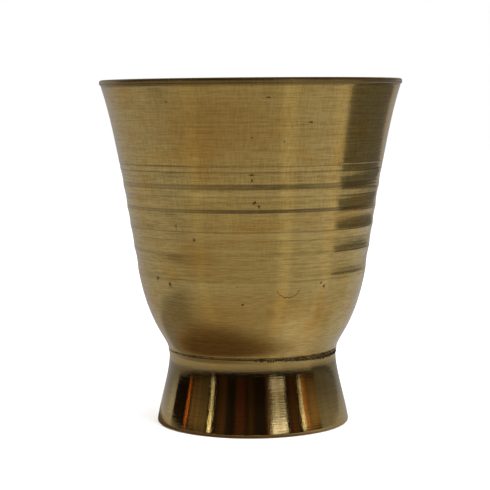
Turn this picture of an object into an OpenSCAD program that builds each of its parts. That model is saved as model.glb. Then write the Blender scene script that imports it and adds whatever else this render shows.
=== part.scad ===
// Bar jigger: a turned brass measuring bowl brazed to a flared brass foot.
// The bowl and the foot are separate castings. A spigot under the bowl stands in a
// bore in the foot, and a ring of brazing alloy fills the gap between them.
// The origin is the middle of the foot's underside, and +Z is the turning axis.

/* [Overall] */
// Height from the table to the top of the lip
height = 60.8; // [52:0.1:74]
// Diameter over the lip
lip_d = 53.4; // [48:0.1:66]

/* [Bowl] */
// Thickness of the bowl's wall
wall = 1.4; // [1:0.1:2.4]
// Metal under the inside of the bowl
floor_t = 2; // [1.4:0.1:4]
// Diameter of the flat middle of the inside
floor_flat_d = 12; // [4:0.5:20]
// Height over which the inside turns from its floor into its wall
floor_curve_h = 4; // [2:0.5:8]
// Diameter where the round belly becomes the straight wall
shoulder_d = 40.8; // [36:0.1:44]
// Height of that shoulder over the seam
shoulder_h = 15.1; // [12:0.1:20]
// Height of the stretch where the wall flares out to the lip
flare_h = 20; // [10:0.1:24]
// How far the flare carries the wall outward
flare_out = 4.2; // [1:0.1:7]
// Lean of the wall just under the lip, in degrees from upright
lip_lean = 18; // [8:1:30]

/* [Lip] */
// Height of the turned band round the lip
lip_h = 1; // [0.6:0.1:2]
// How far the band stands out from the wall under it
lip_proud = 0.25; // [0.1:0.05:0.6]
// Height of the sloping lower part of the band
lip_slope = 0.4; // [0.1:0.05:0.5]
// Rounding of the lip's two top edges
lip_round = 0.4; // [0.1:0.05:0.5]

/* [Flutes] */
// Number of shallow flutes turned round the wall
flute_n = 5; // [0:1:6]
// Height of one flute
flute_pitch = 3.5; // [2:0.1:4]
// Depth of a flute at its middle
flute_depth = 0.06; // [0:0.01:0.2]
// Distance from the top of the lip down to the uppermost flute
flute_drop = 15.4; // [8:0.1:20]

/* [Foot] */
// Height of the foot up to the seam
foot_h = 13.1; // [11:0.1:18]
// Diameter of the foot at the table, before its lower edge is rounded
foot_d = 34.4; // [32:0.1:44]
// Rounding of the foot's lower outer edge
foot_round = 0.5; // [0.3:0.1:1.5]
// Lean of the foot's side just above that rounding, in degrees from upright
foot_lean = 10; // [4:1:30]
// Diameter of the waist, the narrowest place
waist_d = 29.8; // [27:0.1:32]
// Distance from the waist up to the seam
waist_drop = 1; // [0.5:0.1:4]
// Diameter at the seam
seam_d = 30.2; // [28:0.1:34]
// Lean of the side at the seam, in degrees from upright
seam_lean = 9; // [0:1:20]
// Width of the ring that the foot rests on
rest_w = 2.2; // [1.5:0.1:4]
// Thickness of the foot's wall at the waist
foot_wall = 1.8; // [1.2:0.1:3]
// Thickness of the web that carries the bowl
web_t = 3; // [2:0.1:5]
// Rounding between the web and the inside of the foot
web_round = 2.2; // [1:0.1:4]

/* [Brazed joint] */
// Diameter of the spigot under the bowl
spigot_d = 12; // [8:0.1:20]
// How far the spigot stands out below the web
spigot_proud = 0.5; // [0.2:0.1:1.5]
// Bevel round the spigot's end
spigot_bevel = 0.3; // [0.1:0.1:0.8]
// Clearance between the spigot and its bore, filled with alloy
braze_gap = 0.15; // [0.05:0.05:0.3]
// Thickness of the alloy between the foot and the bowl
braze_t = 0.25; // [0.1:0.05:0.5]
// How far the alloy lies back from the outside at the seam
braze_recess = 0.2; // [0.05:0.05:0.5]

/* [Hidden] */

$fn = 128;
curve_steps = 10;
corner_steps = 5;
flute_steps = 6;
// Share of a curve's span that each end holds its own direction for
soft_pull = 0.35;
waist_pull = 0.25;
belly_low_pull = 0.12;
belly_high_pull = 0.67;
inside_low_pull = 0.5;
inside_high_pull = 0.4;
flare_low_pull = 0.46;
flare_high_pull = 0.24;

bowl_base_z = foot_h + braze_t;
floor_z = bowl_base_z + floor_t;
shoulder = [shoulder_d / 2, foot_h + shoulder_h];
flare_top = [lip_d / 2 - lip_proud, height - lip_h];
flare_start = flare_top - [flare_out, flare_h];
wall_lean = atan((flare_start[0] - shoulder[0]) / (flare_start[1] - shoulder[1]));
flutes_top_z = height - flute_drop;
flutes_low_z = flutes_top_z - flute_n * flute_pitch;
wall_steps = ceil(flute_steps * (flare_start[1] - shoulder[1]) / flute_pitch);
flare_steps = ceil(flute_steps * flare_h / flute_pitch);

web_z = foot_h - web_t;
waist = [waist_d / 2, foot_h - waist_drop];
socket_r = spigot_d / 2 + braze_gap;
hollow_foot_r = foot_d / 2 - rest_w;
hollow_top_r = waist_d / 2 - foot_wall;

// The point that lies a distance from p in a direction given by its lean from upright
function along(p, lean, distance) = p + distance * [sin(lean), cos(lean)];

// A smooth curve from a to b that leaves a and reaches b at the given leans
function curve(a, a_lean, a_pull, b, b_lean, b_pull, steps) =
    let (span = norm(b - a))
    let (c = along(a, a_lean, a_pull * span))
    let (d = along(b, b_lean, -b_pull * span))
    [for (i = [0:steps]) let (t = i / steps, s = 1 - t)
        s * s * s * a + 3 * s * s * t * c + 3 * s * t * t * d + t * t * t * b];

function line(a, b, steps) = [for (i = [0:steps]) a + (b - a) * i / steps];

// Points on a round corner, from one angle to another
function corner(centre, r, from, to) =
    [for (i = [0:corner_steps]) let (angle = from + (to - from) * i / corner_steps)
        centre + r * [cos(angle), sin(angle)]];

function without_first(points) = [for (i = [1:len(points) - 1]) points[i]];
function reversed(points) = [for (i = [len(points) - 1:-1:0]) points[i]];

// The same points moved inward, square to the line through their neighbours
function inset(points, distance) =
    let (last = len(points) - 1)
    [for (i = [0:last])
        let (step = points[min(i + 1, last)] - points[max(i - 1, 0)])
        points[i] + distance / norm(step) * [-step[1], step[0]]];

// How deep the flutes are at height z, with a sharp ridge between two flutes
function flute_depth_at(z) =
    z > flutes_low_z && z < flutes_top_z
        ? flute_depth * abs(sin(180 * (z - flutes_low_z) / flute_pitch)) : 0;

function fluted(points) = [for (p = points) p - [flute_depth_at(p[1]), 0]];

// The wall's outside from the shoulder to the lip band, before the flutes are turned
wall_line = concat(
    line(shoulder, flare_start, wall_steps),
    without_first(curve(flare_start, wall_lean, flare_low_pull,
                        flare_top, lip_lean, flare_high_pull, flare_steps)));

belly_line = curve([seam_d / 2, bowl_base_z], seam_lean, belly_low_pull,
                   shoulder, wall_lean, belly_high_pull, 2 * curve_steps);

inside_wall = [for (p = inset(concat(belly_line, without_first(wall_line)), wall))
    if (p[1] > floor_z + floor_curve_h && p[1] < height - lip_h) p];
inside_lean = atan2(inside_wall[1][0] - inside_wall[0][0], inside_wall[1][1] - inside_wall[0][1]);
inside_line = concat(
    curve([floor_flat_d / 2, floor_z], 90, inside_low_pull,
          inside_wall[0], inside_lean, inside_high_pull, curve_steps),
    without_first(inside_wall));

lip_corner_z = height - lip_round;
inside_top = inside_wall[len(inside_wall) - 1];
lip_inside_r = inside_top[0] + (lip_corner_z - inside_top[1]) * tan(lip_lean);
lip_band = concat(
    [[lip_d / 2, height - lip_h + lip_slope]],
    corner([lip_d / 2 - lip_round, lip_corner_z], lip_round, 0, 90),
    corner([lip_inside_r + lip_round, lip_corner_z], lip_round, 90, 180));

module bowl() {
    spigot_z = web_z - spigot_proud;
    spigot_r = spigot_d / 2;
    color("darkgoldenrod")
    rotate_extrude()
    polygon(concat(
        [[0, spigot_z], [spigot_r - spigot_bevel, spigot_z],
         [spigot_r, spigot_z + spigot_bevel], [spigot_r, bowl_base_z]],
        belly_line,
        without_first(fluted(wall_line)),
        lip_band,
        reversed(inside_line),
        [[0, floor_z]]));
}

module foot() {
    side_low = along([foot_d / 2, 0], -foot_lean, foot_round);
    side = concat(
        curve(side_low, -foot_lean, soft_pull, waist, 0, waist_pull, curve_steps),
        without_first(curve(waist, 0, soft_pull, [seam_d / 2, foot_h], seam_lean, soft_pull,
                            corner_steps)));
    edge = curve([foot_d / 2 - foot_round, 0], 90, 2 * soft_pull,
                 side_low, -foot_lean, soft_pull, corner_steps);
    hollow = concat(
        [[hollow_foot_r, 0]],
        corner([hollow_top_r - web_round, web_z - web_round], web_round, 0, 90));
    color("saddlebrown")
    rotate_extrude()
    polygon(concat(
        edge,
        without_first(side),
        [[socket_r, foot_h], [socket_r, web_z]],
        reversed(hollow)));
}

module braze_ring() {
    outer_r = seam_d / 2 - braze_recess;
    color("peru")
    rotate_extrude()
    polygon([
        [spigot_d / 2, web_z], [socket_r, web_z], [socket_r, foot_h],
        [outer_r, foot_h], [outer_r, bowl_base_z], [spigot_d / 2, bowl_base_z]]);
}

bowl();
foot();
braze_ring();
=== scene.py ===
"""Looks of a bar jigger: a turned brass measuring bowl brazed to a polished brass foot."""
import math

import bpy
import numpy as np
from mathutils import Matrix, Vector


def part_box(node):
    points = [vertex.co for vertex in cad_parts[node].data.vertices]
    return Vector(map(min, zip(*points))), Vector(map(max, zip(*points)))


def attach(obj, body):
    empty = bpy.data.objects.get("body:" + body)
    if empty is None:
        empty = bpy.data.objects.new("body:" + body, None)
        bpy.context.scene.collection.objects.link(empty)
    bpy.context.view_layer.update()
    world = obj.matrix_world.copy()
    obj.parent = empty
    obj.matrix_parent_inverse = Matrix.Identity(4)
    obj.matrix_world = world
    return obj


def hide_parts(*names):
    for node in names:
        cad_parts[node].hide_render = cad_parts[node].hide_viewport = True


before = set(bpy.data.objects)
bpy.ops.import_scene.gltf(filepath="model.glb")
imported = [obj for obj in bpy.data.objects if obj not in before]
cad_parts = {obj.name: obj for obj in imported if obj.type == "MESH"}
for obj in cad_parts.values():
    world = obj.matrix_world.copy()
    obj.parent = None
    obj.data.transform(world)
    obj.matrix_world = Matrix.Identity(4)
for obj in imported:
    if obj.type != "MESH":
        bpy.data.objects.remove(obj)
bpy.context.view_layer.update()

# ---------------------------------------------------------------- sizes, in millimetres
MM = 0.001

bowl_low, bowl_high = (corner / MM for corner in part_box("bowl"))
foot_low, foot_high = (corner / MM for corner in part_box("foot"))
braze_low, braze_high = (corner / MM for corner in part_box("braze_ring"))

LIP_R = bowl_high.x
HEIGHT = bowl_high.z
SEAM_Z = foot_high.z
BOWL_BASE_Z = braze_high.z
WEB_Z = braze_low.z
SPIGOT_Z = bowl_low.z
BRAZE_R = braze_high.x

WALL = 1.4
FLOOR = 2.0
FLOOR_FLAT_R = 6.0
FLOOR_CURVE_H = 4.0
SHOULDER = np.array([20.4, SEAM_Z + 15.1])
LIP_H = 1.0
LIP_PROUD = 0.25
LIP_SLOPE = 0.4
LIP_ROUND = 0.4
LIP_LEAN = 18.0
FLARE_TOP = np.array([LIP_R - LIP_PROUD, HEIGHT - LIP_H])
FLARE_START = FLARE_TOP - np.array([4.2, 20.0])
SEAM_R = 15.1
SEAM_LEAN = 9.0
SEAM_BEVEL = 0.07
SPIGOT_R = 6.0
SPIGOT_BEVEL = 0.3
BRAZE_GAP = 0.15
FOOT_R = 17.2
FOOT_ROUND = 0.5
FOOT_LEAN = 10.0
WAIST = np.array([14.9, SEAM_Z - 1.0])
REST_W = 2.2
FOOT_WALL = 1.8
WEB_ROUND = 2.2

# Heights of the ridges between the flutes turned in the wall, and each flute's depth
FLUTE_RIDGES = (27.5, 31.5, 35.4, 38.5, 42.3, 45.4, 46.5)
FLUTE_DEPTHS = (0.13, 0.1, 0.1, 0.12, 0.1, 0.03)
# Narrow rings cut by the tool's point: height, strength and half width
RING_DEPTH = 0.025
TOOL_RINGS = (
    (59.66, 1.0, 0.14), (46.35, 0.85, 0.09), (45.36, 0.95, 0.1), (44.45, 0.15, 0.2), (43.25, 0.35, 0.08),
    (42.7, 0.4, 0.1), (41.25, 0.35, 0.1), (40.5, 0.2, 0.15), (39.15, 0.5, 0.1), (38.75, 0.4, 0.08),
    (35.4, 0.8, 0.1), (33.9, 0.25, 0.08), (31.75, 0.3, 0.1), (31.42, 0.35, 0.09),
    (30.0, 0.3, 0.08), (27.9, 0.25, 0.2), (27.1, 0.5, 0.1),
)
# Wider painted dark reflections in bands, strongest in front: lowest and highest point, strength
PAINTED_DARK_REFLECTION_BANDS = ((42.45, 43.45, 0.9), (38.6, 39.3, 1.0))
# Painted highlight bands, strongest in front: lowest and highest point, strength
PAINTED_HIGHLIGHT_BANDS = ((45.55, 46.2, 0.35), (41.45, 42.0, 0.8), (40.9, 41.15, 0.5), (37.65, 38.15, 0.6),
               (34.05, 35.15, 0.5), (25.6, 26.8, 0.3))

SIDES = 224
FINE_STEP = 0.22
PLAIN_STEP = 0.45


# ---------------------------------------------------------------- outlines
def along(point, lean, distance):
    """The point at a distance from another, in a direction given in degrees from upright."""
    angle = math.radians(lean)
    return point + distance * np.array([math.sin(angle), math.cos(angle)])


def curve(a, a_lean, a_pull, b, b_lean, b_pull, step):
    """A smooth curve from a to b that leaves a and reaches b at the given leans."""
    a, b = np.asarray(a, float), np.asarray(b, float)
    span = np.linalg.norm(b - a)
    c, d = along(a, a_lean, a_pull * span), along(b, b_lean, -b_pull * span)
    t = np.linspace(0, 1, max(3, int(math.ceil(span / step))))[:, None]
    s = 1 - t
    return s**3 * a + 3 * s * s * t * c + 3 * s * t * t * d + t**3 * b


def line(a, b, step):
    a, b = np.asarray(a, float), np.asarray(b, float)
    count = max(2, int(math.ceil(np.linalg.norm(b - a) / step)) + 1)
    return a + (b - a) * np.linspace(0, 1, count)[:, None]


def corner(centre, radius, start, end, count=6):
    angle = np.radians(np.linspace(start, end, count))
    return np.asarray(centre, float) + radius * np.column_stack([np.cos(angle), np.sin(angle)])


def join(*runs):
    """One outline from several, leaving out points that meet."""
    points = [np.asarray(runs[0][0], float)]
    for run in runs:
        for point in run:
            if np.linalg.norm(point - points[-1]) > 1e-4:
                points.append(np.asarray(point, float))
    return np.array(points)


def inset(points, distance):
    """The same points moved towards the axis, square to the line through their neighbours."""
    step = np.gradient(points, axis=0)
    step /= np.linalg.norm(step, axis=1)[:, None]
    return points + distance * np.column_stack([-step[:, 1], step[:, 0]])


def tool_depth(z):
    """How deep the turned flutes and tool rings are at height z."""
    depth = np.zeros_like(z)
    for low, high, deep in zip(FLUTE_RIDGES, FLUTE_RIDGES[1:], FLUTE_DEPTHS):
        share = np.clip((z - low) / (high - low), 0, 1)
        depth += deep * 4 * share * (1 - share)
    return depth + RING_DEPTH * ring_strength(z)


def ring_strength(z):
    strength = np.zeros_like(z)
    for height, strong, half_width in TOOL_RINGS:
        strength += strong * np.exp(-(((z - height) / half_width) ** 2))
    return strength


def band_strength(bands, z, around):
    """How strong the painted reflection and highlight bands are at height z, fading away from the front of
    the bowl.
    """
    strength = np.zeros_like(z)
    for low, high, strong in bands:
        inside = np.clip((z - low) / 0.14, 0, 1) * np.clip((high - z) / 0.14, 0, 1)
        strength += strong * inside * (0.35 + 0.65 * np.exp(-(((around - 8) / 38) ** 2)))
    return strength


def bowl_outline():
    wall_lean = math.degrees(math.atan2(*(FLARE_START - SHOULDER)))
    wall = join(
        line(SHOULDER, FLARE_START, FINE_STEP),
        curve(FLARE_START, wall_lean, 0.46, FLARE_TOP, LIP_LEAN, 0.24, FINE_STEP))
    belly = curve([SEAM_R, BOWL_BASE_Z + SEAM_BEVEL], SEAM_LEAN, 0.12,
                  SHOULDER, wall_lean, 0.67, FINE_STEP)
    outside = join(belly, wall)
    inner = inset(outside, WALL)
    floor_z = BOWL_BASE_Z + FLOOR
    inner = inner[(inner[:, 1] > floor_z + FLOOR_CURVE_H) & (inner[:, 1] < HEIGHT - LIP_H)]
    inner = inner[::3]
    start_lean = math.degrees(math.atan2(*(inner[1] - inner[0])))
    inside = join(
        line([0, floor_z], [FLOOR_FLAT_R, floor_z], PLAIN_STEP),
        curve([FLOOR_FLAT_R, floor_z], 90, 0.5, inner[0], start_lean, 0.4, PLAIN_STEP),
        inner)
    near_rings = [height + half_width * step for height, _, half_width in TOOL_RINGS
                  for step in (-1.5, -0.7, 0, 0.7, 1.5)]
    levels = np.union1d(outside[:, 1], near_rings)
    turned = np.column_stack([np.interp(levels, outside[:, 1], outside[:, 0]), levels])
    turned[:, 0] -= tool_depth(levels)
    corner_z = HEIGHT - LIP_ROUND
    inside_r = inside[-1][0] + (corner_z - inside[-1][1]) * math.tan(math.radians(LIP_LEAN))
    lip = join(
        curve(FLARE_TOP + [0.02, 0.05], 50, 0.4, [LIP_R, HEIGHT - LIP_H + LIP_SLOPE], 0, 0.4, 0.08),
        corner([LIP_R - LIP_ROUND, corner_z], LIP_ROUND, 0, 90),
        corner([inside_r + LIP_ROUND, corner_z], LIP_ROUND, 90, 180))
    base = join(
        line([0, SPIGOT_Z], [SPIGOT_R - SPIGOT_BEVEL, SPIGOT_Z], PLAIN_STEP),
        [[SPIGOT_R, SPIGOT_Z + SPIGOT_BEVEL], [SPIGOT_R, BOWL_BASE_Z]],
        line([SPIGOT_R, BOWL_BASE_Z], [SEAM_R - SEAM_BEVEL, BOWL_BASE_Z], 4 * PLAIN_STEP))
    return join(base, turned, lip, inside[::-1])


def foot_outline():
    side_low = along(np.array([FOOT_R, 0.0]), -FOOT_LEAN, FOOT_ROUND)
    web_edge = [SPIGOT_R + BRAZE_GAP, WEB_Z]
    hollow_r = WAIST[0] - FOOT_WALL
    return join(
        curve([FOOT_R - FOOT_ROUND, 0], 90, 0.7, side_low, -FOOT_LEAN, 0.35, FINE_STEP),
        curve(side_low, -FOOT_LEAN, 0.35, WAIST, 0, 0.25, FINE_STEP),
        curve(WAIST, 0, 0.35, [SEAM_R, SEAM_Z - SEAM_BEVEL], SEAM_LEAN, 0.35, FINE_STEP),
        [[SEAM_R - SEAM_BEVEL, SEAM_Z], [SPIGOT_R + BRAZE_GAP, SEAM_Z]],
        [web_edge],
        line(web_edge, [hollow_r - WEB_ROUND, WEB_Z], PLAIN_STEP),
        corner([hollow_r - WEB_ROUND, WEB_Z - WEB_ROUND], WEB_ROUND, 90, 0, 10),
        line([hollow_r, WEB_Z - WEB_ROUND], [FOOT_R - REST_W, 0.15], PLAIN_STEP),
        line([FOOT_R - REST_W + 0.15, 0], [FOOT_R - FOOT_ROUND, 0], PLAIN_STEP))


def braze_outline():
    """The ring of alloy: a thin sleeve round the spigot and a washer with a hollow edge."""
    middle = (SEAM_Z + BOWL_BASE_Z) / 2
    return join(
        [[SPIGOT_R, WEB_Z], [SPIGOT_R + BRAZE_GAP, WEB_Z], [SPIGOT_R + BRAZE_GAP, SEAM_Z]],
        [[BRAZE_R, SEAM_Z], [BRAZE_R - 0.05, middle], [BRAZE_R, BOWL_BASE_Z]],
        [[SPIGOT_R, BOWL_BASE_Z], [SPIGOT_R, WEB_Z + 0.01]])


# ---------------------------------------------------------------- meshes
def mesh_object(name, points, faces):
    mesh = bpy.data.meshes.new(name)
    mesh.from_pydata(points, [], faces)
    mesh.validate()
    mesh.update()
    piece = bpy.data.objects.new(name, mesh)
    bpy.context.scene.collection.objects.link(piece)
    return piece


def lathe(name, outline, closed=False, wobble=None):
    """Turns an outline of (radius, height) points round the axis. Its ends lie on the axis
    unless it is closed. wobble(angle, height) moves the surface in or out."""
    angle = np.linspace(0, 2 * math.pi, SIDES, endpoint=False)
    points, rings = [], []
    for radius, height in outline:
        if radius < 1e-6:
            rings.append([len(points)])
            points.append((0.0, 0.0, height * MM))
            continue
        r = radius + (wobble(angle, height) if wobble else 0 * angle)
        rings.append(list(range(len(points), len(points) + SIDES)))
        points.extend(zip(r * np.cos(angle) * MM, r * np.sin(angle) * MM, [height * MM] * SIDES))
    pairs = list(zip(rings, rings[1:] + ([rings[0]] if closed else [])))
    faces = []
    for lower, upper in pairs[:len(rings) if closed else len(rings) - 1]:
        for i in range(SIDES):
            j = (i + 1) % SIDES
            if len(lower) == 1:
                faces.append((lower[0], upper[j], upper[i]))
            elif len(upper) == 1:
                faces.append((lower[i], lower[j], upper[0]))
            else:
                faces.append((lower[i], lower[j], upper[j], upper[i]))
    piece = mesh_object(name, points, faces)
    piece.data.shade_smooth()
    piece.data.set_sharp_from_angle(angle=math.radians(50))
    return piece


def out_of_round(amount):
    """A slow unevenness, as a hand-finished turning has."""
    def wobble(angle, height):
        turn = height / HEIGHT * 3
        return amount * (0.5 * np.sin(2 * angle + 0.7 + turn) + 0.3 * np.sin(3 * angle + 2.1 - turn)
                         + 0.2 * np.sin(7 * angle + 0.3 + 2 * turn))
    return wobble


def paint(piece, name, values):
    """Stores one number per vertex, which the materials read by name."""
    layer = piece.data.attributes.new(name, "FLOAT", "POINT")
    layer.data.foreach_set("value", np.asarray(values, np.float32))


def vertex_places(piece):
    """Each vertex's radius and height in millimetres, and its angle in degrees from the front."""
    co = np.empty(len(piece.data.vertices) * 3)
    piece.data.vertices.foreach_get("co", co)
    co = co.reshape(-1, 3) / MM
    around = np.degrees(np.arctan2(co[:, 0], -co[:, 1]))
    return np.hypot(co[:, 0], co[:, 1]), co[:, 2], around


def make_bowl():
    piece = lathe("bowl_turned", bowl_outline(), wobble=out_of_round(0.02))
    radius, z, around = vertex_places(piece)
    outer = radius > np.interp(z, [0, SEAM_Z, SHOULDER[1], HEIGHT], [0, 14.3, 19.6, LIP_R - 0.9])
    # Dark tool rings, with painted shade under the lip and just above the seam
    dark_rings_and_painted_shade = np.clip(ring_strength(z), 0, 1) * outer
    painted_shade_under_lip = np.exp(-(((z - (HEIGHT - LIP_H)) / 0.3) ** 2)) * outer
    painted_shade_above_seam = 0.35 * np.exp(-((z - BOWL_BASE_Z) / 0.3)) * (z >= BOWL_BASE_Z) * outer
    paint(piece, "dark_rings_and_painted_shade", np.clip(np.maximum.reduce([dark_rings_and_painted_shade, painted_shade_under_lip, painted_shade_above_seam]), 0, 1))
    # Painted dark reflections in bands, strongest in front
    paint(piece, "band", band_strength(PAINTED_DARK_REFLECTION_BANDS, z, around) * outer)
    # Painted highlight bands
    paint(piece, "painted_highlight", band_strength(PAINTED_HIGHLIGHT_BANDS, z, around) * outer)
    # Painted highlight along the inner top edge of the lip
    rim_light = np.exp(-(((z - (HEIGHT - 0.05)) / 0.05) ** 2)) * (radius < LIP_R - 0.6)
    paint(piece, "wear_and_painted_highlight", rim_light)
    # Painted shade over the outside of the lip, darkest along its top
    band_z = HEIGHT - LIP_H
    painted_lip_shade = (0.62 * np.clip((z - band_z) / 0.1, 0, 1)
                + 0.38 * np.clip((z - (HEIGHT - 0.42)) / 0.15, 0, 1)) * (radius > LIP_R - 0.5)
    paint(piece, "painted_lip_shade", painted_lip_shade)
    paint(piece, "inside", (~outer) & (z > BOWL_BASE_Z + 0.1))
    return piece


def make_foot():
    piece = lathe("foot_polished", foot_outline(), closed=True, wobble=out_of_round(0.015))
    radius, z, _ = vertex_places(piece)
    under = radius < np.interp(z, [0, WAIST[1], SEAM_Z], [FOOT_R - 1.1, WAIST[0] - 0.6, WAIST[0] - 0.6])
    # Painted shade: a narrow darkening of the foot just below the seam
    dark_rings_and_painted_shade = 0.5 * np.exp(-((SEAM_Z - z) / 0.2)) * (~under)
    paint(piece, "dark_rings_and_painted_shade", np.clip(dark_rings_and_painted_shade, 0, 1))
    # Lighter line round the resting edge: worn metal, with a painted reflection of the floor
    paint(piece, "wear_and_painted_highlight", np.exp(-((z / 0.25) ** 2)) * (~under))
    paint(piece, "inside", under)
    return piece


def make_braze():
    piece = lathe("braze_line", braze_outline(), closed=True, wobble=out_of_round(0.03))
    return piece


def blob_run(name, stations, sides=10):
    """A lumpy closed rod along the seam. Each station is an angle in degrees from the front,
    a height, a half height and a thickness, in millimetres."""
    points, faces = [], []
    turn = np.linspace(0, 2 * math.pi, sides, endpoint=False)
    for around, height, half, thick in stations:
        z = height + half * np.sin(turn)
        r = foot_radius(z) - 0.06 + thick * np.cos(turn)
        a = math.radians(around)
        points.extend(zip(r * math.sin(a) * MM, -r * math.cos(a) * MM, z * MM))
    for i in range(len(stations) - 1):
        for j in range(sides):
            k = (j + 1) % sides
            faces.append((i * sides + j, (i + 1) * sides + j, (i + 1) * sides + k, i * sides + k))
    faces.append(tuple(range(sides)))
    last = (len(stations) - 1) * sides
    faces.append(tuple(last + j for j in reversed(range(sides))))
    piece = mesh_object(name, points, faces)
    piece.data.shade_smooth()
    return piece


def foot_radius(z):
    """The foot's outside radius near the seam; above the seam it follows the bowl."""
    side = foot_outline()
    side = side[(side[:, 0] > WAIST[0] - 0.05) & (side[:, 1] > 6)]
    side = side[np.argsort(side[:, 1])]
    return np.interp(z, side[:, 1], side[:, 0])


def make_residue():
    """Black crust left by the brazing flux: crumbs in front, growing into a thick run at the right."""
    dice = np.random.default_rng(11)
    runs = []
    crumbs = [(2.0, 12.98, 1.3, 0.12), (5.6, 12.92, 1.9, 0.17), (8.0, 13.0, 0.8, 0.08)]
    crumbs += [(a, 12.95 - 0.007 * (a - 10) + dice.uniform(-0.12, 0.12),
                dice.uniform(0.6, 1.6), dice.uniform(0.12, 0.26)) for a in np.arange(10, 84, 1.7)]
    for i, (around, height, width, half) in enumerate(crumbs):
        t = np.linspace(-1, 1, 9)
        swell = np.sqrt(np.clip(1 - t * t, 0.02, 1))
        lumps = dice.uniform(0.6, 1.4, len(t))
        stations = [(around + width * s, height + 0.09 * (q - 1), half * w * q, 0.14 * w)
                    for s, w, q in zip(t, swell, lumps)]
        runs.append(blob_run("flux_crumb_%02d" % i, stations))
    around = np.arange(15, 83, 0.5)
    middle = np.interp(around, [15, 24, 36, 49, 62, 82], [12.94, 12.86, 12.76, 12.7, 12.66, 12.74])
    thick = np.interp(around, [15, 20, 30, 45, 60, 76, 82], [0.05, 0.12, 0.25, 0.38, 0.42, 0.36, 0.08])
    rough = dice.uniform(0.6, 1.35, len(around))
    lift = dice.uniform(-0.06, 0.06, len(around))
    stations = [(a, z + d, half * q, 0.08 + 0.22 * half * q)
                for a, z, half, q, d in zip(around, middle, thick, rough, lift)]
    runs.append(blob_run("flux_run", stations, 12))
    bpy.ops.object.select_all(action="DESELECT")
    for piece in runs:
        piece.select_set(True)
    bpy.context.view_layer.objects.active = runs[-1]
    bpy.ops.object.join()
    runs[-1].name = "flux_residue"
    return runs[-1]


# ---------------------------------------------------------------- node helpers
class Graph:
    """Adds nodes to one tree and joins them. A value may be a number, a tuple or a socket."""

    def __init__(self, tree):
        self.tree = tree

    def add(self, kind, **settings):
        node = self.tree.nodes.new(kind)
        for name, value in settings.items():
            setattr(node, name, value)
        return node

    def feed(self, socket, value):
        if isinstance(value, bpy.types.NodeSocket):
            self.tree.links.new(value, socket)
        else:
            socket.default_value = value

    def math(self, operation, a, b=0.0, clamp=False):
        node = self.add("ShaderNodeMath", operation=operation, use_clamp=clamp)
        self.feed(node.inputs[0], a)
        self.feed(node.inputs[1], b)
        return node.outputs[0]

    def mix(self, factor, a, b, blend="MIX"):
        node = self.add("ShaderNodeMix", data_type="RGBA", blend_type=blend)
        self.feed(node.inputs[0], factor)
        self.feed(node.inputs[6], a)
        self.feed(node.inputs[7], b)
        return node.outputs[2]

    def span(self, value, low, high, out_low=0.0, out_high=1.0, smooth=True):
        node = self.add("ShaderNodeMapRange", interpolation_type="SMOOTHSTEP" if smooth else "LINEAR")
        for socket, part in zip(node.inputs, (value, low, high, out_low, out_high)):
            self.feed(socket, part)
        return node.outputs[0]

    def vector(self, x, y, z):
        node = self.add("ShaderNodeCombineXYZ")
        for socket, part in zip(node.inputs, (x, y, z)):
            self.feed(socket, part)
        return node.outputs[0]

    def split(self, vector):
        node = self.add("ShaderNodeSeparateXYZ")
        self.feed(node.inputs[0], vector)
        return node.outputs

    def stretch(self, vector, by):
        node = self.add("ShaderNodeVectorMath", operation="MULTIPLY")
        self.feed(node.inputs[0], vector)
        self.feed(node.inputs[1], by)
        return node.outputs[0]

    def noise(self, vector, scale=1.0, detail=2.0, roughness=0.5):
        node = self.add("ShaderNodeTexNoise")
        self.feed(node.inputs["Vector"], vector)
        self.feed(node.inputs["Scale"], scale)
        self.feed(node.inputs["Detail"], detail)
        self.feed(node.inputs["Roughness"], roughness)
        return node.outputs["Fac"]

    def painted(self, name):
        return self.add("ShaderNodeAttribute", attribute_name=name).outputs["Fac"]

    def group(self, tree, **inputs):
        node = self.add("ShaderNodeGroup", node_tree=tree)
        for name, value in inputs.items():
            self.feed(node.inputs[name.replace("_", " ")], value)
        return node.outputs


def new_group(name, inputs, outputs):
    """An empty shader group. Inputs are (name, socket kind, starting value)."""
    tree = bpy.data.node_groups.new(name, "ShaderNodeTree")
    for label, kind, value in inputs:
        socket = tree.interface.new_socket(label, in_out="INPUT", socket_type="NodeSocket" + kind)
        if value is not None:
            socket.default_value = value
    for label, kind in outputs:
        tree.interface.new_socket(label, in_out="OUTPUT", socket_type="NodeSocket" + kind)
    graph = Graph(tree)
    source = graph.add("NodeGroupInput").outputs
    target = graph.add("NodeGroupOutput").inputs
    return tree, graph, source, target


# ---------------------------------------------------------------- effects shared by the metals
def turned_place_group():
    """Where a point is on a turned surface: a unit direction round the axis with the height
    in millimetres, and the angle in degrees from the front."""
    tree, g, _, out = new_group("turned_place", [], [("Place", "Vector"), ("Around", "Float"),
                                                     ("Height", "Float")])
    coords = g.add("ShaderNodeTexCoord").outputs["Object"]
    x, y, z = g.split(coords)
    height = g.math("DIVIDE", z, MM)
    radius = g.math("MAXIMUM", g.math("SQRT", g.math("ADD", g.math("MULTIPLY", x, x),
                                                     g.math("MULTIPLY", y, y))), 0.1 * MM)
    place = g.vector(g.math("DIVIDE", x, radius), g.math("DIVIDE", y, radius), height)
    around = g.math("DEGREES", g.math("ARCTAN2", x, g.math("MULTIPLY", y, -1.0)))
    g.feed(out["Place"], place)
    g.feed(out["Around"], around)
    g.feed(out["Height"], height)
    return tree


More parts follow.
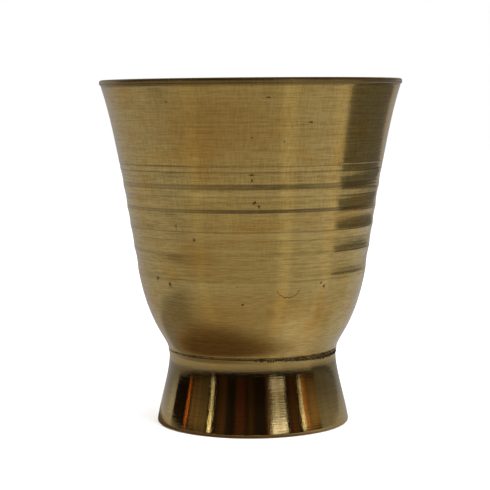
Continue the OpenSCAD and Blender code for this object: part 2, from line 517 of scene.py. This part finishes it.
def lathe_lines_group():
    """Fine lines left by the tool, which fade in and out round the piece."""
    tree, g, into, out = new_group(
        "lathe_lines",
        [("Place", "Vector", None), ("Pitch", "Float", 0.4), ("Run", "Float", 1.5)],
        [("Lines", "Float")])
    up = g.math("DIVIDE", 1.0, into["Pitch"])
    fine = g.noise(g.stretch(into["Place"], g.vector(into["Run"], into["Run"], up)), 1.0, 3.0, 0.65)
    g.feed(out["Lines"], g.span(fine, 0.32, 0.68))
    return tree


def cross_rub_group():
    """Faint upright streaks, where a cloth or a hand has crossed the tool lines."""
    tree, g, into, out = new_group(
        "cross_rub",
        [("Place", "Vector", None), ("Width", "Float", 0.6), ("Length", "Float", 6.0)],
        [("Rub", "Float")])
    across = g.math("DIVIDE", 20.0, into["Width"])
    along_z = g.math("DIVIDE", 1.0, into["Length"])
    streak = g.noise(g.stretch(into["Place"], g.vector(across, across, along_z)), 1.0, 2.0, 0.6)
    g.feed(out["Rub"], g.span(streak, 0.3, 0.7))
    return tree


def stain_group():
    """Soft patches of tarnish."""
    tree, g, into, out = new_group(
        "stain",
        [("Place", "Vector", None), ("Size", "Float", 12.0), ("Shift", "Float", 0.0),
         ("Cover", "Float", 0.5)],
        [("Stain", "Float")])
    scale = g.math("DIVIDE", 20.0, into["Size"])
    up = g.math("DIVIDE", 1.0, into["Size"])
    moved = g.add("ShaderNodeVectorMath", operation="ADD")
    g.feed(moved.inputs[0], g.stretch(into["Place"], g.vector(scale, scale, up)))
    g.feed(moved.inputs[1], g.vector(into["Shift"], 0.0, into["Shift"]))
    cloud = g.noise(moved.outputs[0], 1.0, 4.0, 0.55)
    low = g.math("SUBTRACT", 0.72, g.math("MULTIPLY", into["Cover"], 0.4))
    g.feed(out["Stain"], g.span(cloud, low, g.math("ADD", low, 0.2)))
    return tree


def casting_pits_group():
    """Small pits left by the casting: most cells have none."""
    tree, g, into, out = new_group(
        "casting_pits",
        [("Spacing", "Float", 1.6), ("Size", "Float", 0.1), ("Share", "Float", 0.2)],
        [("Pits", "Float")])
    coords = g.add("ShaderNodeTexCoord").outputs["Object"]
    bend = g.noise(coords, 2600.0, 2.0)
    cell = g.add("ShaderNodeTexVoronoi", feature="F1")
    g.feed(cell.inputs["Vector"], coords)
    g.feed(cell.inputs["Scale"], g.math("DIVIDE", 1.0 / MM, into["Spacing"]))
    chance, chosen, _ = g.split(cell.outputs["Color"])
    kept = g.math("LESS_THAN", chance, into["Share"])
    size = g.math("MULTIPLY", into["Size"], g.math("ADD", 0.4, chosen))
    reach = g.math("MULTIPLY", cell.outputs["Distance"], g.math("ADD", 0.4, g.math("MULTIPLY", bend, 1.2)))
    pit = g.span(reach, g.math("MULTIPLY", size, 0.5), size, 1.0, 0.0)
    g.feed(out["Pits"], g.math("MULTIPLY", pit, kept))
    return tree


# Length on the bowl's side that one degree spans
BOWL_MM_PER_DEGREE = math.radians(22.0)


def mark_group():
    """One mark at a chosen angle and height. Sizes are half widths in millimetres."""
    tree, g, into, out = new_group(
        "placed_mark",
        [("Around", "Float", 0.0), ("Height", "Float", 0.0), ("At Angle", "Float", 0.0),
         ("At Height", "Float", 30.0), ("Wide", "Float", 0.3), ("Tall", "Float", 0.2),
         ("Soft", "Float", 0.4), ("Bend", "Float", 1.0)],
        [("Mark", "Float")])
    dx = g.math("MULTIPLY", g.math("SUBTRACT", into["Around"], into["At Angle"]), BOWL_MM_PER_DEGREE)
    dz = g.math("SUBTRACT", into["Height"], into["At Height"])
    dx, dz = g.math("DIVIDE", dx, into["Wide"]), g.math("DIVIDE", dz, into["Tall"])
    away = g.math("SQRT", g.math("ADD", g.math("MULTIPLY", dx, dx), g.math("MULTIPLY", dz, dz)))
    away = g.math("MULTIPLY", away, into["Bend"])
    g.feed(out["Mark"], g.span(away, g.math("SUBTRACT", 1.0, into["Soft"]),
                               g.math("ADD", 1.0, into["Soft"]), 1.0, 0.0))
    return tree


def arc_group():
    """A shallow crescent scratch: the lower part of a small circle on the bowl's side."""
    tree, g, into, out = new_group(
        "arc_mark",
        [("Around", "Float", 0.0), ("Height", "Float", 0.0), ("At Angle", "Float", 17.5),
         ("At Height", "Float", 27.0), ("Radius", "Float", 2.7), ("Reach", "Float", 1.35),
         ("Thick", "Float", 0.1)],
        [("Mark", "Float")])
    dx = g.math("MULTIPLY", g.math("SUBTRACT", into["Around"], into["At Angle"]), BOWL_MM_PER_DEGREE)
    dz = g.math("SUBTRACT", into["Height"], into["At Height"])
    away = g.math("SQRT", g.math("ADD", g.math("MULTIPLY", dx, dx), g.math("MULTIPLY", dz, dz)))
    wobble = g.math("MULTIPLY", g.math("SINE", g.math("MULTIPLY", into["Around"], 2.3)), 0.08)
    off = g.math("ABSOLUTE", g.math("SUBTRACT", g.math("ADD", away, wobble), into["Radius"]))
    line_mask = g.span(off, g.math("MULTIPLY", into["Thick"], 0.4), into["Thick"], 1.0, 0.0)
    low_part = g.span(g.math("MULTIPLY", dz, -1.0), into["Reach"], g.math("ADD", into["Reach"], 0.3))
    g.feed(out["Mark"], g.math("MULTIPLY", line_mask, low_part))
    return tree


turned_place = turned_place_group()
lathe_lines = lathe_lines_group()
cross_rub = cross_rub_group()
stain = stain_group()
casting_pits = casting_pits_group()
placed_mark = mark_group()
arc_mark = arc_group()

# Pits and nicks that catch the eye: angle from the front, height, half width and half height
PITS = (
    (6, 57.6, 0.34, 0.14), (23, 53.5, 0.34, 0.1), (0, 51.1, 0.22, 0.1), (0, 45.0, 0.34, 0.16),
    (0, 44.1, 0.2, 0.2), (1, 40.4, 0.3, 0.2), (3, 39.8, 0.22, 0.16), (-36, 36.3, 0.12, 0.3),
    (-27, 34.1, 0.28, 0.16), (-53, 27.0, 0.36, 0.24), (-44, 26.2, 0.28, 0.34),
    (-5, 23.2, 0.2, 0.14), (37, 25.9, 0.26, 0.2), (35, 26.5, 0.2, 0.16), (-33, 57.0, 0.2, 0.1),
)
# Warm tarnish: angle from the front, height, half width and half height
WARM_PATCHES = ((-17.0, 53.0, 7.0, 5.0), (-20.0, 21.5, 7.0, 2.6), (-28.0, 31.0, 4.0, 3.0),
                (36.0, 22.0, 1.1, 2.4))
def strongest(g, masks):
    result = masks[0]
    for mask in masks[1:]:
        result = g.math("MAXIMUM", result, mask)
    return result


def metal(name, anisotropy, roughness):
    """A metal's material, its graph, its shader and its place on the turned surface."""
    material = bpy.data.materials.new(name)
    material.use_nodes = True
    tree = material.node_tree
    shader = tree.nodes["Principled BSDF"]
    shader.inputs["Metallic"].default_value = 1.0
    shader.inputs["Roughness"].default_value = roughness
    shader.inputs["Anisotropic"].default_value = anisotropy
    shader.inputs["Anisotropic Rotation"].default_value = 0.25
    g = Graph(tree)
    tangent = g.add("ShaderNodeTangent", direction_type="RADIAL", axis="Z")
    g.feed(shader.inputs["Tangent"], tangent.outputs[0])
    return material, g, shader, g.group(turned_place)


def bump(g, shader, height, depth_mm, under=None):
    node = g.add("ShaderNodeBump")
    node.inputs["Strength"].default_value = 1.0
    node.inputs["Distance"].default_value = depth_mm * MM
    g.feed(node.inputs["Height"], height)
    if under is not None:
        g.feed(node.inputs["Normal"], under)
    g.feed(shader.inputs["Normal"], node.outputs[0])
    return node.outputs[0]


def bowl_brass():
    """Satin olive-gold brass with tool lines, rubbed streaks, warm stains and black pits, and painted
    highlights and shade.
    """
    material, g, shader, at = metal("bowl_brass_satin", 0.35, 0.15)
    place, around, height = at["Place"], at["Around"], at["Height"]
    lines = g.group(lathe_lines, Place=place, Pitch=0.3, Run=1.2)["Lines"]
    grain = g.group(lathe_lines, Place=place, Pitch=0.2, Run=9.0)["Lines"]
    coarse = g.group(lathe_lines, Place=place, Pitch=1.1, Run=0.7)["Lines"]
    rub = g.group(cross_rub, Place=place, Width=0.22, Length=1.8)["Rub"]
    warm = g.group(stain, Place=place, Size=9.0, Shift=3.1, Cover=0.55)["Stain"]
    brown = g.group(stain, Place=place, Size=14.0, Shift=7.7, Cover=0.35)["Stain"]
    fine_pits = g.group(casting_pits, Spacing=1.3, Size=0.07, Share=0.14)["Pits"]
    bend = g.span(g.noise(g.add("ShaderNodeTexCoord").outputs["Object"], 4500.0, 2.0),
                  0.3, 0.7, 0.45, 1.9, smooth=False)
    marks = [g.group(placed_mark, Around=around, Height=height, At_Angle=a, At_Height=z,
                     Wide=w, Tall=t, Soft=0.5, Bend=bend)["Mark"] for a, z, w, t in PITS]
    broken = g.span(g.noise(place, 11.0, 3.0), 0.3, 0.65, 0.1, 0.85)
    crescent = g.math("MULTIPLY", g.group(arc_mark, Around=around, Height=height)["Mark"], broken)
    pits = strongest(g, [fine_pits, crescent] + marks)

    colour = g.mix(warm, (0.74, 0.52, 0.175, 1), (0.74, 0.44, 0.11, 1))
    colour = g.mix(g.math("MULTIPLY", brown, 0.45), colour, (0.50, 0.30, 0.09, 1))
    for angle, level, wide, tall in WARM_PATCHES:
        patch = g.group(placed_mark, Around=around, Height=height, At_Angle=angle, At_Height=level,
                        Wide=wide, Tall=tall, Soft=0.9)["Mark"]
        colour = g.mix(g.math("MULTIPLY", patch, 0.7), colour, (0.60, 0.33, 0.075, 1))
    turned = g.span(height, 20.0, 32.0, 0.16, 0.32)
    shade = g.math("ADD", g.math("MULTIPLY", lines, turned), g.math("MULTIPLY", coarse, 0.1))
    shade = g.math("SUBTRACT", shade, g.math("MULTIPLY", turned, 0.5))
    shade = g.math("ADD", shade, g.math("MULTIPLY", grain, 0.42))
    rubbed = g.span(height, 26.0, 46.0, 0.08, 0.32)
    shade = g.math("ADD", shade, g.math("MULTIPLY", rub, rubbed))
    shade = g.math("SUBTRACT", shade, g.math("MULTIPLY", rubbed, 0.5))
    colour = g.mix(g.math("SUBTRACT", 0.54, shade, clamp=True), colour, (0.33, 0.19, 0.045, 1))
    # Painted highlight: lighter bands, strongest in front
    colour = g.mix(g.math("MULTIPLY", g.painted("painted_highlight"), 0.5), colour, (0.86, 0.62, 0.24, 1))
    streaked = g.math("ADD", 0.6, g.math("MULTIPLY", grain, 0.5))
    # Painted reflection: dark bands, strongest in front
    colour = g.mix(g.math("MULTIPLY", g.painted("band"), streaked, clamp=True), colour,
                   (0.20, 0.135, 0.055, 1))
    # Painted shade: darker and browner towards the bottom of the belly
    colour = g.mix(g.span(height, 19.0, SEAM_Z, 0.0, 0.2), colour, (0.42, 0.24, 0.075, 1))
    colour = g.mix(g.span(height, 45.0, 52.0, 0.0, 0.2), colour, (0.48, 0.28, 0.075, 1))
    # Dark rings, and painted shade under the lip and above the seam
    colour = g.mix(g.math("MULTIPLY", g.painted("dark_rings_and_painted_shade"), 0.6), colour, (0.10, 0.062, 0.025, 1))
    # Painted highlight along the inner top edge
    colour = g.mix(g.math("MULTIPLY", g.painted("wear_and_painted_highlight"), 0.6), colour, (0.85, 0.66, 0.32, 1))
    # Painted shade over the lip
    colour = g.mix(g.math("MULTIPLY", g.painted("painted_lip_shade"), 0.85), colour, (0.10, 0.062, 0.025, 1))
    colour = g.mix(g.math("MULTIPLY", pits, 0.8), colour, (0.06, 0.045, 0.025, 1))
    g.feed(shader.inputs["Base Color"], colour)
    rough = g.math("ADD", 0.12, g.math("MULTIPLY", lines, 0.04))
    rough = g.math("ADD", rough, g.math("MULTIPLY", warm, 0.04))
    rough = g.math("ADD", rough, g.math("MULTIPLY", g.painted("painted_lip_shade"), 0.3))
    rough = g.math("ADD", rough, g.math("MULTIPLY", pits, 0.3), clamp=True)
    g.feed(shader.inputs["Roughness"], rough)
    cut = bump(g, shader, g.math("MULTIPLY", lines, turned), 0.009)
    cut = bump(g, shader, rub, 0.0007, cut)
    bump(g, shader, g.math("SUBTRACT", 1.0, pits), 0.06, cut)
    return material


def foot_brass():
    """Brass with a mirror finish near the table that dulls to satin at the neck."""
    material, g, shader, at = metal("foot_brass_polished", 0.6, 0.12)
    place, height = at["Place"], at["Height"]
    lines = g.group(lathe_lines, Place=place, Pitch=0.22, Run=3.0)["Lines"]
    coarse = g.group(lathe_lines, Place=place, Pitch=0.8, Run=0.6)["Lines"]
    rub = g.group(cross_rub, Place=place, Width=0.3, Length=1.0)["Rub"]
    warm = g.group(stain, Place=place, Size=7.0, Shift=1.4, Cover=0.5)["Stain"]
    fine_pits = g.group(casting_pits, Spacing=1.5, Size=0.07, Share=0.12)["Pits"]
    neck = g.span(height, WAIST[1] - 1.3, WAIST[1] - 0.4)
    dulled = g.span(height, 2.0, WAIST[1] - 1.5)
    colour = g.mix(warm, (0.68, 0.50, 0.21, 1), (0.62, 0.40, 0.14, 1))
    shade = g.math("MULTIPLY", g.math("SUBTRACT", 1.0, g.math("MULTIPLY", lines, 0.8)), 0.45)
    colour = g.mix(g.math("MULTIPLY", shade, g.math("ADD", 0.55, g.math("MULTIPLY", dulled, 0.3))),
                   colour, (0.24, 0.155, 0.05, 1))
    colour = g.mix(g.math("MULTIPLY", neck, 0.55), colour, (0.50, 0.315, 0.09, 1))
    film = g.math("MULTIPLY", g.span(height, 1.0, 9.0), g.math("SUBTRACT", 1.0, neck))
    colour = g.mix(g.math("MULTIPLY", film, 0.72), colour, (0.15, 0.10, 0.04, 1))
    # Painted shade just below the seam
    colour = g.mix(g.math("MULTIPLY", g.painted("dark_rings_and_painted_shade"), 0.7), colour, (0.08, 0.05, 0.02, 1))
    # Copper line at the resting edge: worn metal and a painted reflection of the floor
    colour = g.mix(g.math("MULTIPLY", g.painted("wear_and_painted_highlight"), 0.5), colour, (0.85, 0.52, 0.24, 1))
    colour = g.mix(fine_pits, colour, (0.04, 0.03, 0.02, 1))
    colour = g.mix(g.math("MULTIPLY", g.painted("inside"), 0.5), colour, (0.32, 0.22, 0.09, 1))
    g.feed(shader.inputs["Base Color"], colour)
    rough = g.math("ADD", 0.04, g.math("MULTIPLY", dulled, 0.02))
    rough = g.math("ADD", rough, g.math("MULTIPLY", neck, 0.12))
    rough = g.math("ADD", rough, g.math("MULTIPLY", g.painted("inside"), 0.25))
    rough = g.math("ADD", rough, g.math("MULTIPLY", coarse, 0.025))
    g.feed(shader.inputs["Roughness"], rough)
    cut = bump(g, shader, lines, 0.003)
    cut = bump(g, shader, rub, 0.002, cut)
    bump(g, shader, g.math("SUBTRACT", 1.0, fine_pits), 0.03, cut)
    return material


def braze_alloy():
    """Dull brown alloy in the joint."""
    material, g, shader, at = metal("braze_alloy_dull", 0.0, 0.5)
    dark = g.group(stain, Place=at["Place"], Size=2.0, Shift=0.6, Cover=0.6)["Stain"]
    g.feed(shader.inputs["Base Color"], g.mix(dark, (0.36, 0.24, 0.085, 1), (0.16, 0.10, 0.036, 1)))
    g.feed(shader.inputs["Roughness"], g.math("ADD", 0.42, g.math("MULTIPLY", dark, 0.25)))
    bump(g, shader, dark, 0.03)
    return material


def flux_crust():
    """Burnt flux: almost black, rough and crumbly."""
    material, g, shader, at = metal("flux_crust_black", 0.0, 0.8)
    shader.inputs["Metallic"].default_value = 0.0
    shader.inputs["Specular IOR Level"].default_value = 0.06
    crumbs = g.group(casting_pits, Spacing=0.25, Size=0.5, Share=0.7)["Pits"]
    dust = g.group(stain, Place=at["Place"], Size=0.8, Shift=2.0, Cover=0.5)["Stain"]
    colour = g.mix(dust, (0.018, 0.012, 0.004, 1), (0.065, 0.042, 0.014, 1))
    g.feed(shader.inputs["Base Color"], colour)
    g.feed(shader.inputs["Roughness"], g.math("SUBTRACT", 0.85, g.math("MULTIPLY", dust, 0.2)))
    bump(g, shader, crumbs, 0.05)
    return material


# ---------------------------------------------------------------- studio
def camera_at_the_bar():
    """A long lens, a hand's breadth above the table, that looks very slightly down."""
    distance, eye, aside = 273.1, 57.0, -1.2
    pitch, roll = math.radians(5.35), math.radians(-0.45)
    data = bpy.data.cameras.new("camera")
    data.lens = 112.87
    data.sensor_width = 36.0
    data.clip_start = 0.01
    data.dof.use_dof = False
    camera = bpy.data.objects.new("camera", data)
    turn = Matrix.Rotation(math.pi / 2 - pitch, 4, "X") @ Matrix.Rotation(roll, 4, "Z")
    camera.matrix_world = Matrix.Translation(Vector((aside, -distance, eye)) * MM) @ turn
    bpy.context.scene.collection.objects.link(camera)
    bpy.context.scene.camera = camera


def flat_sheet(name, low, high, z, material):
    """A level rectangle for the set, with its corners given in millimetres."""
    points = [(x * MM, y * MM, z * MM) for x, y in
              ((low[0], low[1]), (high[0], low[1]), (high[0], high[1]), (low[0], high[1]))]
    sheet = mesh_object(name, points, [(0, 1, 2, 3)])
    sheet.data.materials.append(material)
    return sheet


def floor_material():
    """Pale and matt from above, and clear from below, so that the underside can be looked at."""
    material = bpy.data.materials.new("floor_pale")
    material.use_nodes = True
    shader = material.node_tree.nodes["Principled BSDF"]
    shader.inputs["Base Color"].default_value = (0.9, 0.9, 0.895, 1)
    shader.inputs["Roughness"].default_value = 0.9
    shader.inputs["Specular IOR Level"].default_value = 0.0
    g = Graph(material.node_tree)
    blend = g.add("ShaderNodeMixShader")
    g.feed(blend.inputs[0], g.add("ShaderNodeNewGeometry").outputs["Backfacing"])
    g.feed(blend.inputs[1], shader.outputs[0])
    g.feed(blend.inputs[2], g.add("ShaderNodeBsdfTransparent").outputs[0])
    g.feed(material.node_tree.nodes["Material Output"].inputs["Surface"], blend.outputs[0])
    return material


def glow_material(name, colour):
    material = bpy.data.materials.new(name)
    material.use_nodes = True
    g = Graph(material.node_tree)
    glow = g.add("ShaderNodeEmission")
    glow.inputs["Color"].default_value = colour
    g.feed(material.node_tree.nodes["Material Output"].inputs["Surface"], glow.outputs[0])
    return material


def shade_material():
    """Dark under the left of the foot, clear further out."""
    material = bpy.data.materials.new("foot_shade")
    material.use_nodes = True
    g = Graph(material.node_tree)
    x, y, _ = g.split(g.add("ShaderNodeTexCoord").outputs["Object"])
    x, y = g.math("ADD", x, 9 * MM), g.math("ADD", y, 6 * MM)
    out = g.math("DIVIDE", g.math("SQRT", g.math("ADD", g.math("MULTIPLY", x, x),
                                                 g.math("MULTIPLY", y, y))), MM)
    dark = g.add("ShaderNodeEmission")
    g.feed(dark.inputs["Color"], g.mix(g.span(out, 14.0, 26.0), (0.11, 0.075, 0.045, 1),
                                       (0.22, 0.17, 0.12, 1)))
    clear = g.add("ShaderNodeBsdfTransparent")
    blend = g.add("ShaderNodeMixShader")
    g.feed(blend.inputs[0], g.span(out, 19.0, 31.0))
    g.feed(blend.inputs[1], dark.outputs[0])
    g.feed(blend.inputs[2], clear.outputs[0])
    g.feed(material.node_tree.nodes["Material Output"].inputs["Surface"], blend.outputs[0])
    return material


def set_floor():
    """A pale floor, and a shade round the foot and a dark mat at the right, which only the
    metal sees."""
    floor = flat_sheet("floor", (-1500, -1500), (1500, 1500), 0.0, floor_material())
    floor.visible_glossy = False
    mat = flat_sheet("dark_mat", (140, -28), (1500, 330), 0.05,
                     glow_material("mat_dark", (0.124, 0.133, 0.138, 1)))
    shade = flat_sheet("foot_shade", (-42, -40), (26, 28), 0.03, shade_material())
    for sheet in (mat, shade):
        sheet.visible_camera = False
        sheet.visible_diffuse = False
        sheet.visible_shadow = False


# What the metal sees above the table, left to right: middle and half width in degrees round from
# the front, softness of the edges, lowest and highest elevation, softness at the top, colour
ROOM = (
    (-150, 31, 3, -3, 50, 15, (0.56, 0.57, 0.58)),
    (-90, 1.4, 1.4, 2, 9, 14, (0.62, 0.19, 0.04)),
    (-78, 6, 3, 3, 30, 15, (0.16, 0.105, 0.055)),
    (-66, 5, 3, 3, 40, 15, (0.13, 0.10, 0.05)),
    (-54, 1.9, 1.5, 5, 22, 15, (0.34, 0.30, 0.18)),
    (-54.5, 1.0, 1.0, 4, 10.0, 4, (1.9, 1.9, 1.65)),
    (-40, 4, 3, 3, 20, 15, (0.06, 0.03, 0.014)),
    (-16, 4, 4, 4, 25, 15, (0.06, 0.02, 0.01)),
    (-2, 2, 3, 4, 25, 15, (0.04, 0.02, 0.009)),
    (20, 1.0, 1, 3, 30, 15, (0.16, 0.09, 0.045)),
    (32, 8.5, 2, 5, 22, 15, (0.22, 0.22, 0.17)),
    (31, 1.6, 2, 6, 22, 15, (0.75, 0.76, 0.72)),
    (32, 8.5, 1.5, 5, 10.0, 3.5, (1.5, 1.55, 1.75)),
    (52, 5, 3, 2, 30, 15, (0.07, 0.035, 0.015)),
    (64, 1.6, 1, 3, 22, 15, (0.42, 0.38, 0.25)),
    (64.5, 1.2, 1, 4, 10.0, 4, (1.8, 1.8, 1.6)),
    (70.5, 1.6, 1, 3, 30, 15, (1.1, 0.42, 0.075)),
    (82, 10, 4, 2, 30, 15, (0.24, 0.155, 0.075)),
    (111, 19, 4, -6, 30, 15, (0.22, 0.21, 0.175)),
    (135, 8, 4, -8, 30, 15, (0.17, 0.155, 0.12)),
    (165, 22, 3, -8, 50, 15, (0.60, 0.60, 0.62)),
)
# Paler and darker parts of the table: middle, half width and softness in degrees, least steepness
# of the look down at them, colour
TABLE = (
    (-112, 33, 27, 2, (0.40, 0.415, 0.46)),
    (75, 10, 35, 2, (0.455, 0.47, 0.52)),
    (78, 22, 30, 38, (0.56, 0.575, 0.64)),
    (148, 25, 30, 8, (0.47, 0.50, 0.555)),
    (-53, 2, 6, 2, (0.44, 0.44, 0.41)),
    (33, 3, 7, 2, (0.51, 0.51, 0.48)),
    (80, 3, 7, 2, (0.54, 0.54, 0.55)),
)


def strip_group():
    """How far a direction lies inside one upright strip of the room."""
    tree, g, into, out = new_group(
        "room_strip",
        [("Around", "Float", 0.0), ("Rise", "Float", 0.0), ("Middle", "Float", 0.0),
         ("Half", "Float", 5.0), ("Edge", "Float", 1.0), ("Low", "Float", 0.0), ("High", "Float", 30.0),
         ("Fade", "Float", 15.0)],
        [("Inside", "Float")])
    away = g.math("ABSOLUTE", g.math("SUBTRACT", into["Around"], into["Middle"]))
    away = g.math("MINIMUM", away, g.math("SUBTRACT", 360.0, away))
    across = g.span(away, into["Half"], g.math("ADD", into["Half"], into["Edge"]), 1.0, 0.0)
    above = g.span(into["Rise"], into["Low"], g.math("ADD", into["Low"], 4.0))
    below = g.span(into["Rise"], into["High"], g.math("ADD", into["High"], into["Fade"]), 1.0, 0.0)
    g.feed(out["Inside"], g.math("MULTIPLY", across, g.math("MULTIPLY", above, below)))
    return tree


def set_world():
    """White for the camera, soft white light for the floor, and a dim room with bright strips
    and a pale table for the metal to reflect."""
    world = bpy.data.worlds.new("studio")
    bpy.context.scene.world = world
    world.use_nodes = True
    g = Graph(world.node_tree)
    direction = g.add("ShaderNodeTexCoord").outputs["Generated"]
    x, y, z = g.split(direction)
    around = g.math("DEGREES", g.math("ARCTAN2", x, g.math("MULTIPLY", y, -1.0)))
    rise = g.math("DEGREES", g.math("ARCSINE", z))
    strip = strip_group()
    room = g.mix(g.span(rise, 35, 75), (0.015, 0.010, 0.007, 1), (0.5, 0.5, 0.49, 1))
    for middle, half, edge, low, high, fade, colour in ROOM:
        inside = g.group(strip, Around=around, Rise=rise, Middle=middle, Half=half, Edge=edge,
                         Low=low, High=high, Fade=fade)["Inside"]
        room = g.mix(inside, room, (*colour, 1))
    shadow_side = g.math("MULTIPLY", g.group(strip, Around=around, Rise=g.math("MULTIPLY", rise, -1.0),
                                             Middle=-115.0, Half=25.0, Edge=30.0, Low=22.0,
                                             High=60.0)["Inside"], 0.6)
    streaks = g.noise(g.vector(g.math("MULTIPLY", around, 0.45), g.math("MULTIPLY", rise, 0.03), 0.0),
                      1.0, 3.0, 0.6)
    room = g.mix(1.0, room, g.span(streaks, 0.3, 0.7, 0.45, 1.6, smooth=False), "MULTIPLY")
    table = (0.385, 0.38, 0.365, 1)
    for middle, half, edge, low, colour in TABLE:
        inside = g.group(strip, Around=around, Rise=g.math("MULTIPLY", rise, -1.0), Middle=middle,
                         Half=half, Edge=edge, Low=low, High=80.0)["Inside"]
        table = g.mix(inside, table, (*colour, 1))
    table = g.mix(shadow_side, table, (0.10, 0.095, 0.085, 1))
    seen = g.mix(g.span(rise, -0.8, 0.8), table, room)
    ray = g.add("ShaderNodeLightPath").outputs
    light = g.mix(ray["Is Glossy Ray"], (1.25, 1.25, 1.25, 1), seen)
    light = g.mix(ray["Is Camera Ray"], light, (1.0, 1.0, 1.0, 1))
    g.feed(world.node_tree.nodes["Background"].inputs["Color"], light)


def set_lights():
    """Two large soft boxes overhead. They light the floor and stay out of the reflections."""
    for name, place, size, power in (
            ("soft_box_right", (260, -220, 420), 360, 2.2), ("soft_box_left", (-320, -120, 460), 420, 1.0)):
        data = bpy.data.lights.new(name, "AREA")
        data.shape = "DISK"
        data.size = size * MM
        data.energy = power
        lamp = bpy.data.objects.new(name, data)
        lamp.location = Vector(place) * MM
        aim = Vector((0, 0, HEIGHT / 2)) * MM - lamp.location
        lamp.rotation_euler = aim.to_track_quat("-Z", "Y").to_euler()
        lamp.visible_glossy = False
        bpy.context.scene.collection.objects.link(lamp)


# ---------------------------------------------------------------- the object
def dress(piece, material, node):
    piece.data.materials.clear()
    piece.data.materials.append(material)
    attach(piece, "root")
    if node:
        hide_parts(node)


dress(make_bowl(), bowl_brass(), "bowl")
dress(make_foot(), foot_brass(), "foot")
dress(make_braze(), braze_alloy(), "braze_ring")
dress(make_residue(), flux_crust(), None)

camera_at_the_bar()
set_floor()
set_world()
set_lights()
bpy.context.scene.view_settings.view_transform = "Standard"
